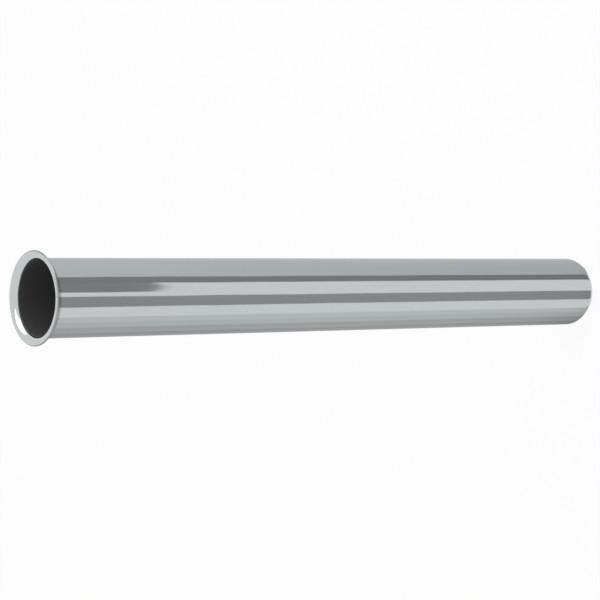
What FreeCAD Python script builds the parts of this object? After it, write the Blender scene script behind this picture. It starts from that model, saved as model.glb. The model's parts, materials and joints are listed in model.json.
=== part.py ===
import FreeCAD, Part
import math
import os

# Basin waste tail pipe: a drawn tube with a flared flange at the top and a rolled-in plain end at the bottom.
# The pipe stands on its plain end, its axis is Z and the origin is the middle of the plain end.

# Driving dimensions, in millimetres and degrees
overall_length = 300.0   # plain end to flange face
tube_diameter = 32.0     # outside of the tube
wall = 0.8               # thickness of the tube and of the flange that is formed from it
flange_diameter = 38.0   # outside of the flange
flare_radius = 2.5       # bend from the bore to the flange face
roll_radius = 7.5        # outside of the rolled-in plain end
roll_angle = 34.0        # turn of the wall at the plain end
edge_radius = 0.2        # deburred edges of the plain end

# Radii, angles and heights that follow from them
tube_radius = tube_diameter / 2
bore_radius = tube_radius - wall
rim_radius = wall / 2
flare_back_radius = flare_radius - wall
roll_length = roll_radius * math.sin(math.radians(roll_angle))
roll_inside_radius = roll_radius - wall
roll_inside_angle = math.degrees(math.asin(roll_length / roll_inside_radius))

# Directions in the wall's section, which lies in the XZ plane
OUTWARD = FreeCAD.Vector(1, 0, 0)
UPWARD = FreeCAD.Vector(0, 0, 1)
AXIS_FOOT = FreeCAD.Vector(0, 0, 0)


def section_point(radius, height):
    """Point of the wall's section at a distance from the pipe's axis and a height above the plain end."""
    return OUTWARD * radius + UPWARD * height


def slanted(angle):
    """Direction that falls below straight outward by an angle in degrees."""
    turn = math.radians(angle)
    return OUTWARD * math.cos(turn) - UPWARD * math.sin(turn)


def bend(centre, radius, *directions):
    """Arc of the section about a centre, through the points that lie in three directions from it."""
    points = [centre + FreeCAD.Vector(direction).normalize() * radius for direction in directions]
    return Part.Arc(*points).toShape()


def wall_section():
    """Closed section of the wall, from the plain end up the outside, round the flange and down the bore."""
    flare_centre = section_point(bore_radius + flare_radius, overall_length - flare_radius)
    rim_centre = section_point(flange_diameter / 2 - rim_radius, overall_length - rim_radius)
    roll_centre = section_point(tube_radius - roll_radius, roll_length)

    roll_end = slanted(roll_angle)
    roll_middle = slanted(roll_angle / 2)
    roll_inside_end = slanted(roll_inside_angle)
    roll_inside_middle = slanted(roll_inside_angle / 2)
    bends = [
        bend(roll_centre, roll_radius, roll_end, roll_middle, OUTWARD),
        bend(flare_centre, flare_back_radius, -OUTWARD, UPWARD - OUTWARD, UPWARD),
        bend(rim_centre, rim_radius, -UPWARD, OUTWARD, UPWARD),
        bend(flare_centre, flare_radius, UPWARD, UPWARD - OUTWARD, -OUTWARD),
        bend(roll_centre, roll_inside_radius, OUTWARD, roll_inside_middle, roll_inside_end),
    ]
    edges = []
    for current, following in zip(bends, bends[1:] + bends[:1]):
        start = current.valueAt(current.LastParameter)
        end = following.valueAt(following.FirstParameter)
        edges += [current, Part.makeLine(start, end)]
    return Part.Face(Part.Wire(edges))


def tail_pipe():
    """The wall turned about the pipe's axis, with both edges of the plain end broken."""
    pipe = wall_section().revolve(AXIS_FOOT, UPWARD)
    plain_end = min(pipe.Faces, key=lambda face: face.CenterOfMass.z)
    return pipe.makeFillet(edge_radius, plain_end.Edges)


os.makedirs("parts", exist_ok=True)
tail_pipe().exportStep("parts/tail_pipe.step")
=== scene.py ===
import json
import math

import bmesh
import bpy
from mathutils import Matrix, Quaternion, Vector


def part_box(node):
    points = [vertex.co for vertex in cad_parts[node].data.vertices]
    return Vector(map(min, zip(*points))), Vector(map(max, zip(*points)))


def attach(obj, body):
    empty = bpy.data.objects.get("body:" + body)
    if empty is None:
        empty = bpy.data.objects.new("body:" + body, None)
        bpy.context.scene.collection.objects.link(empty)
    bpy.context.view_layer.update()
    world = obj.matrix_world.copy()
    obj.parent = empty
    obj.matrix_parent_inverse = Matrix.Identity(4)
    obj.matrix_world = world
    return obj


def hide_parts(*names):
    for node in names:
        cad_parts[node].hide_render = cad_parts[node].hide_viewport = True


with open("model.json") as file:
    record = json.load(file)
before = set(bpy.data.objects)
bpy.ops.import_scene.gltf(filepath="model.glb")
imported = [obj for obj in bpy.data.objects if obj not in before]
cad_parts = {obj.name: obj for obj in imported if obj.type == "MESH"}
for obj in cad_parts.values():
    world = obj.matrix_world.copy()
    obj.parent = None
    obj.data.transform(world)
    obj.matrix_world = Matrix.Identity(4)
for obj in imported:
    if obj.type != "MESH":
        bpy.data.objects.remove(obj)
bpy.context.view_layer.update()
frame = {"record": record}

MILLIMETRE = 0.001

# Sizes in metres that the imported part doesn't give
roll_radius = 7.5 * MILLIMETRE   # outside of the rolled-in plain end
edge_radius = 0.2 * MILLIMETRE   # broken edges of the plain end
guard = 0.3 * MILLIMETRE         # short runs beside the bends
near = 0.01 * MILLIMETRE         # points closer than this are one point

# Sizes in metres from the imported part
low_corner, high_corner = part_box("tail_pipe")
mounts = {mount["name"]: mount for mount in frame["record"]["mounts"]}
straight_run = mounts["waterway"]["dims"]["length_mm"] * MILLIMETRE
straight_middle = mounts["waterway"]["pos_m"][2]
pipe_length = high_corner[2]
flange_radius = min(high_corner[0], high_corner[1], -low_corner[0], -low_corner[1])
tube_radius = mounts["plain_end"]["dims"]["r_mm"] * MILLIMETRE
bore_radius = mounts["waterway"]["dims"]["r_mm"] * MILLIMETRE

# Sizes that follow from them
wall = tube_radius - bore_radius
roll_top = straight_middle - straight_run / 2
roll_centre = tube_radius - roll_radius
flare_foot = straight_middle + straight_run / 2
flare_radius = pipe_length - flare_foot
flare_centre = bore_radius + flare_radius
rim_centre = flange_radius - wall / 2

# Fineness of the mesh
ROUND_STEPS = 288
FLARE_STEPS = 14
RIM_STEPS = 10
ROLL_STEPS = 10
EDGE_STEPS = 6
SMOOTH_ANGLE = math.radians(40)

# Colours and roughness of the plate
PLATE_TINT = (0.53, 0.565, 0.565, 1.0)
PLATE_TINT_PALE = (0.55, 0.585, 0.585, 1.0)
# Level of the painted shade behind and under the flange and on the outer edge of its rim
FLANGE_SHADE_LEVEL = 0.32
BORE_LEVEL = 0.05
# Paler level of the bore, for its random dull patches and for the painted light deeper in
BORE_LEVEL_PATCHES_AND_PAINTED_LIGHT = 0.11
PLATE_ROUGHNESS = 0.05
STREAK_ROUGHNESS = 0.05
BORE_ROUGHNESS = 0.6
WAVE_DEPTH = 0.2 * MILLIMETRE
WAVE_STRENGTH = 0.4

# Floor and soft light, in metres and watts
FLOOR_SIZE = 6.0
FLOOR_LEVEL = 0.9
FLOOR_WHITE_SHARE = 0.92
WORLD_LEVEL = 0.7
SOFTBOX_PLACE = Vector((0.75, 0.0, 0.95))
SOFTBOX_AIM = Vector((0.0, 0.0, 0.3))
SOFTBOX_SIZE = 1.1
SOFTBOX_POWER = 5.0

# Grey strips on the floor, which give the tube its bands: the two angles from the tube's front, in degrees,
# between which it mirrors a strip, the strip's paint, and how far from the tube it starts, in metres
STRIPS = {
    "right_board": (31.0, 84.0, 0.73, 0.0),
    "right_strip": (21.0, 31.0, 0.33, 0.0),
    "right_end_strip": (7.6, 21.0, 0.36, 0.38),
    "front_strip": (-13.5, 1.5, 0.47, 0.0),
    "left_pale_board": (-38.0, -29.0, 0.97, 0.0),
    "left_light_board": (-48.0, -38.0, 0.87, 0.0),
    "left_middle_board": (-62.0, -48.0, 0.70, 0.0),
    "left_dim_board": (-84.0, -62.0, 0.55, 0.0),
}
STRIP_REACH = 3.6
STRIP_LIFT = 0.2 * MILLIMETRE

# Camera, in metres, degrees and millimetres
CAMERA_PLACE = Vector((0.0039, -0.6692, 0.6892))
CAMERA_AIM = Vector((-0.0022, 0.0, 0.1670))
CAMERA_ROLL = -90.85
FOCAL_LENGTH = 117.15
SENSOR_WIDTH = 36.0


class Wire:
    """An output of a node that can be used in sums: each operator adds a Math node."""

    def __init__(self, graph, socket):
        self.graph = graph
        self.socket = socket

    def of(self, name):
        """Another output of the same node."""
        return Wire(self.graph, self.socket.node.outputs[name])

    def __add__(self, other):
        return self.graph.maths("ADD", self, other)

    def __sub__(self, other):
        return self.graph.maths("SUBTRACT", self, other)

    def __rsub__(self, other):
        return self.graph.maths("SUBTRACT", other, self)

    def __mul__(self, other):
        return self.graph.maths("MULTIPLY", self, other)

    __radd__ = __add__
    __rmul__ = __mul__


class Graph:
    """The nodes of a material or of the world."""

    def __init__(self, tree):
        self.tree = tree
        tree.nodes.clear()

    def add(self, kind, settings=None, sockets=None, output=0):
        """Adds a node, sets it up, then gives its sockets their values or links."""
        node = self.tree.nodes.new(kind)
        for name, value in (settings or {}).items():
            setattr(node, name, value)
        for name, value in (sockets or {}).items():
            if isinstance(value, Wire):
                self.tree.links.new(value.socket, node.inputs[name])
            else:
                node.inputs[name].default_value = value
        return Wire(self, node.outputs[output]) if node.outputs else None

    def maths(self, operation, *values):
        """A Math node of one value or two."""
        return self.add("ShaderNodeMath", {"operation": operation}, dict(enumerate(values)))

    def rise(self, value, start, end):
        """Soft step from 0 at the start to 1 at the end."""
        sockets = {"Value": value, "From Min": start, "From Max": end}
        return self.add("ShaderNodeMapRange", {"interpolation_type": "SMOOTHSTEP"}, sockets)

    def fall(self, value, start, end):
        """Soft step from 1 at the start to 0 at the end."""
        return 1 - self.rise(value, start, end)

    def mix(self, share, first, second):
        """Number between two others."""
        return self.add("ShaderNodeMix", {"data_type": "FLOAT"}, {"Factor": share, 2: first, 3: second})

    def blend(self, share, first, second):
        """Colour between two others."""
        return self.add("ShaderNodeMix", {"data_type": "RGBA"}, {"Factor": share, 6: first, 7: second}, 2)

    def noise(self, place, stretch, scale, detail):
        """Noise at a place, drawn out along the pipe by a stretch."""
        drawn = self.add("ShaderNodeVectorMath", {"operation": "DIVIDE"}, {0: place, 1: (1.0, 1.0, stretch)})
        return self.add("ShaderNodeTexNoise", sockets={"Vector": drawn, "Scale": scale, "Detail": detail})

    def plain_rays(self):
        """1 for the camera, in metal and through glass, which see plain white, and 0 for other light."""
        camera_ray = self.add("ShaderNodeLightPath", output="Is Camera Ray")
        seen = self.maths("MAXIMUM", camera_ray.of("Is Glossy Ray"), camera_ray.of("Is Transmission Ray"))
        return self.maths("MAXIMUM", camera_ray, seen)


def grey(level):
    """Neutral colour of a level."""
    return (level, level, level, 1.0)


def material(name):
    """New material and the graph of its nodes."""
    made = bpy.data.materials.new(name)
    made.use_nodes = True
    return made, Graph(made.node_tree)


def select_points(mesh, wanted):
    """Selects the points of a mesh in edit mode that a test wants."""
    bpy.ops.mesh.select_all(action="DESELECT")
    points = bmesh.from_edit_mesh(mesh)
    for point in points.verts:
        point.select = wanted(point.co)
    points.select_flush_mode()
    bmesh.update_edit_mesh(mesh)


def at_height(height):
    """Test for a point of the wall's section by its height."""
    return lambda place: abs(place.z - height) < near


def at(radius, height):
    """Test for a point of the wall's section by its distance from the axis and its height."""
    return lambda place: abs(place.x - radius) < near and abs(place.z - height) < near


def run_points(outward, upward):
    """Draws straight edges from the selected points in the plane of the wall's section."""
    bpy.ops.mesh.extrude_vertices_move(TRANSFORM_OT_translate={"value": (outward, 0, upward)})


def turn_points(centre_radius, centre_height, steps, angle):
    """Carries the selected points round an arc in the plane of the wall's section."""
    bpy.ops.mesh.spin(
        steps=steps,
        angle=angle,
        center=(centre_radius, 0, centre_height),
        axis=(0, -1, 0),
    )


def draw_wall_section(mesh):
    """Turns the straight run of the wall into the outline of its whole section."""
    low, high = roll_top + guard, flare_foot - guard
    bpy.ops.mesh.delete(type="ONLY_FACE")
    for height in (low, high):
        select_points(mesh, at_height(height))
        bpy.ops.mesh.delete(type="EDGE")

    # Short guard runs before the bends keep the straight run's shading straight
    for height, step in ((low, -guard), (high, guard)):
        select_points(mesh, at_height(height))
        run_points(0, step)

    # The flare: both sides of the wall turn outward round one centre, then run out to the rim
    select_points(mesh, at_height(flare_foot))
    turn_points(flare_centre, flare_foot, FLARE_STEPS, math.pi / 2)
    run_points(rim_centre - flare_centre, 0)
    select_points(mesh, at(rim_centre, pipe_length))
    turn_points(rim_centre, pipe_length - wall / 2, RIM_STEPS, math.pi)

    # The rolled-in end: each side of the wall turns inward until it meets the flat end face
    roll_inside_radius = roll_radius - wall
    outside_turn = math.asin(roll_top / roll_radius)
    inside_turn = math.asin(roll_top / roll_inside_radius)
    select_points(mesh, at(tube_radius, roll_top))
    turn_points(roll_centre, roll_top, ROLL_STEPS, outside_turn)
    select_points(mesh, at(bore_radius, roll_top))
    turn_points(roll_centre, roll_top, ROLL_STEPS, inside_turn)
    select_points(mesh, at_height(0))
    bpy.ops.mesh.edge_face_add()

    # The broken edges of the end face
    corners = (
        (roll_centre + roll_radius * math.cos(outside_turn), math.pi / 2 + outside_turn),
        (roll_centre + roll_inside_radius * math.cos(inside_turn), math.pi / 2 - inside_turn),
    )
    for radius, corner_angle in corners:
        select_points(mesh, at(radius, 0))
        setback = edge_radius / math.tan(corner_angle / 2)
        bpy.ops.mesh.bevel(affect="VERTICES", offset=setback, segments=EDGE_STEPS, profile=0.5)


def pipe_body():
    """The pipe: the wall's section turned once round the axis."""
    bpy.ops.object.select_all(action="DESELECT")
    bpy.ops.mesh.primitive_plane_add(
        size=1,
        location=((tube_radius + bore_radius) / 2, 0, straight_middle),
        rotation=(math.pi / 2, 0, 0),
    )
    pipe = bpy.context.object
    pipe.name = "chromed_pipe"
    pipe.scale = (wall, straight_run - 2 * guard, 1)
    bpy.ops.object.transform_apply(location=True, rotation=True, scale=True)

    bpy.ops.object.mode_set(mode="EDIT")
    bpy.ops.mesh.select_mode(type="VERT")
    draw_wall_section(pipe.data)
    bpy.ops.mesh.select_all(action="SELECT")
    bpy.ops.mesh.remove_doubles(threshold=near)
    bpy.ops.mesh.spin(steps=ROUND_STEPS, angle=2 * math.pi, center=(0, 0, 0), axis=(0, 0, 1))
    bpy.ops.mesh.select_all(action="SELECT")
    bpy.ops.mesh.remove_doubles(threshold=near)
    bpy.ops.mesh.normals_make_consistent(inside=False)
    bpy.ops.object.mode_set(mode="OBJECT")
    bpy.ops.object.shade_smooth_by_angle(angle=SMOOTH_ANGLE)
    return pipe


def bore_mask(graph, radius, height):
    """1 inside the middle of the wall, up to the lip of the flare, and 0 outside."""
    roll_middle = roll_radius - wall / 2
    roll_depth = graph.maths("MAXIMUM", roll_top - height, 0.0)
    reach = graph.maths("SQRT", roll_middle * roll_middle - roll_depth * roll_depth)
    inside = graph.maths("LESS_THAN", radius, reach + roll_centre)
    lip_low = pipe_length - 2.4 * MILLIMETRE
    lip_high = pipe_length - 1.7 * MILLIMETRE
    return inside * graph.fall(height, lip_low, lip_high)


def flange_shade_mask(graph, radius, height):
    """1 where shade is painted: on the back of the flange, which is nearer the centre of the flare than its
    face, on the tube within about a millimetre under the flange, and on the outer edge of its rim.
    """
    outward = graph.maths("MAXIMUM", flare_centre - radius, 0.0)
    upward = graph.maths("MAXIMUM", height - flare_foot, 0.0)
    from_centre = graph.maths("SQRT", outward * outward + upward * upward)
    back = graph.maths("LESS_THAN", from_centre, flare_radius - wall / 2)
    neck_low = flare_foot - 1.2 * MILLIMETRE
    neck_high = flare_foot - 0.2 * MILLIMETRE
    rim_inner = flange_radius - 0.6 * MILLIMETRE
    rim_outer = flange_radius - 0.3 * MILLIMETRE
    back = back * graph.rise(height, neck_low, neck_high)
    return graph.maths("MAXIMUM", back, graph.rise(radius, rim_inner, rim_outer))


def chrome_plate():
    """Bright chromium plate outside and on the flange, painted darker as painted shade behind the flange,
    just under it and on the rim's outer edge, dull and dark in the bore.
    """
    made, graph = material("chrome_plate")
    place = graph.add("ShaderNodeTexCoord", output="Object")
    parts = graph.add("ShaderNodeSeparateXYZ", sockets={0: place})
    x, y, height = parts, parts.of("Y"), parts.of("Z")
    radius = graph.maths("SQRT", x * x + y * y)
    bore = bore_mask(graph, radius, height)
    back = flange_shade_mask(graph, radius, height)

    # Faint lengthwise streaks from polishing, a slow waviness of the tube, and dull patches in the bore
    streaks = graph.noise(place, stretch=50.0, scale=2500.0, detail=2.0)
    waves = graph.noise(place, stretch=4.0, scale=90.0, detail=1.0)
    patches = graph.noise(place, stretch=1.0, scale=400.0, detail=4.0)
    relief = waves + 0.02 * streaks
    bump_sockets = {"Strength": WAVE_STRENGTH, "Distance": WAVE_DEPTH, "Height": relief}
    bump = graph.add("ShaderNodeBump", sockets=bump_sockets)

    # Painted light: the bore is painted paler deeper in, evening out the shade that falls deeper inside it;
    # the noise patches vary its dull tone at random
    depth = graph.rise(pipe_length - height, 2 * MILLIMETRE, 25 * MILLIMETRE)
    bore_tint = graph.blend(0.3 * patches + 0.7 * depth, grey(BORE_LEVEL), grey(BORE_LEVEL_PATCHES_AND_PAINTED_LIGHT))
    plate_tint = graph.blend(waves, PLATE_TINT, PLATE_TINT_PALE)
    # Painted shade: the plate is darkened behind the flange, on the tube just under it and on the rim's outer
    # edge
    plate_tint = graph.blend(back, plate_tint, grey(FLANGE_SHADE_LEVEL))
    plate_roughness = PLATE_ROUGHNESS + STREAK_ROUGHNESS * streaks

    surface = graph.add(
        "ShaderNodeBsdfPrincipled",
        sockets={
            "Base Color": graph.blend(bore, plate_tint, bore_tint),
            "Metallic": 1 - bore,
            "Roughness": graph.mix(bore, plate_roughness, BORE_ROUGHNESS),
            "Normal": bump,
        },
    )
    graph.add("ShaderNodeOutputMaterial", sockets={"Surface": surface})
    return made


def floor_paint():
    """White for the camera and in the metal, with a share of plain paint that keeps the shadow."""
    made, graph = material("white_floor")
    paint = graph.add("ShaderNodeBsdfDiffuse", sockets={"Color": grey(FLOOR_LEVEL)})
    white = graph.add("ShaderNodeEmission", sockets={"Color": grey(1.0), "Strength": 1.0})
    share = graph.plain_rays() * FLOOR_WHITE_SHARE
    surface = graph.add("ShaderNodeMixShader", sockets={0: share, 1: paint, 2: white})
    graph.add("ShaderNodeOutputMaterial", sockets={"Surface": surface})
    return made


def studio_floor():
    """Plain floor that the pipe stands on."""
    bpy.ops.object.select_all(action="DESELECT")
    bpy.ops.mesh.primitive_plane_add(size=FLOOR_SIZE)
    floor = bpy.context.object
    floor.name = "studio_floor"
    floor.data.materials.append(floor_paint())


def mirrored_place(angle, reach):
    """Place on the floor that the tube mirrors at an angle from its front, at a distance from the tube."""
    turn = math.radians(angle)
    foot = Vector((math.sin(turn), -math.cos(turn), 0.0)) * tube_radius
    run = Vector((math.sin(2 * turn), -math.cos(2 * turn), 0.0)) * reach
    return foot + run + Vector((0.0, 0.0, STRIP_LIFT))


def floor_strip(name, first, last, level, start):
    """Grey strip on the floor that the metal mirrors and the camera doesn't see."""
    bpy.ops.object.select_all(action="DESELECT")
    bpy.ops.mesh.primitive_plane_add(size=1)
    strip = bpy.context.object
    strip.name = name
    corners = [mirrored_place(angle, reach) for angle in (first, last) for reach in (start, STRIP_REACH)]
    for point, corner in zip(strip.data.vertices, corners):
        point.co = corner

    made, graph = material(name)
    paint = graph.add("ShaderNodeBsdfDiffuse", sockets={"Color": grey(level)})
    graph.add("ShaderNodeOutputMaterial", sockets={"Surface": paint})
    strip.data.materials.append(made)
    strip.visible_camera = False
    strip.visible_diffuse = False
    strip.visible_shadow = False


def studio_world():
    """White for the camera and in the metal, and a soft pale light on the rest."""
    world = bpy.data.worlds.new("studio")
    bpy.context.scene.world = world
    world.use_nodes = True
    graph = Graph(world.node_tree)
    shown = graph.blend(graph.plain_rays(), grey(WORLD_LEVEL), grey(1.0))
    background = graph.add("ShaderNodeBackground", sockets={"Color": shown, "Strength": 1.0})
    graph.add("ShaderNodeOutputWorld", sockets={"Surface": background})


def softbox():
    """Square soft light on the right."""
    data = bpy.data.lights.new("softbox", "AREA")
    data.shape = "SQUARE"
    data.size = SOFTBOX_SIZE
    data.energy = SOFTBOX_POWER
    lamp = bpy.data.objects.new("softbox", data)
    lamp.location = SOFTBOX_PLACE
    lamp.rotation_euler = (SOFTBOX_AIM - SOFTBOX_PLACE).to_track_quat("-Z", "Y").to_euler()
    bpy.context.scene.collection.objects.link(lamp)


def camera():
    """Looks down on the standing pipe, turned on its side so that the pipe lies across the picture."""
    data = bpy.data.cameras.new("camera")
    data.lens = FOCAL_LENGTH
    data.sensor_width = SENSOR_WIDTH
    taker = bpy.data.objects.new("camera", data)
    level = (CAMERA_AIM - CAMERA_PLACE).to_track_quat("-Z", "Y")
    roll = Quaternion((0, 0, 1), math.radians(CAMERA_ROLL))
    taker.location = CAMERA_PLACE
    taker.rotation_euler = (level @ roll).to_euler()
    bpy.context.scene.collection.objects.link(taker)
    bpy.context.scene.camera = taker


pipe = pipe_body()
pipe.data.materials.append(chrome_plate())
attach(pipe, "root")
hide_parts("tail_pipe")

studio_floor()
for strip_name, strip_values in STRIPS.items():
    floor_strip(strip_name, *strip_values)
studio_world()
softbox()
camera()
bpy.context.scene.view_settings.view_transform = "Standard"
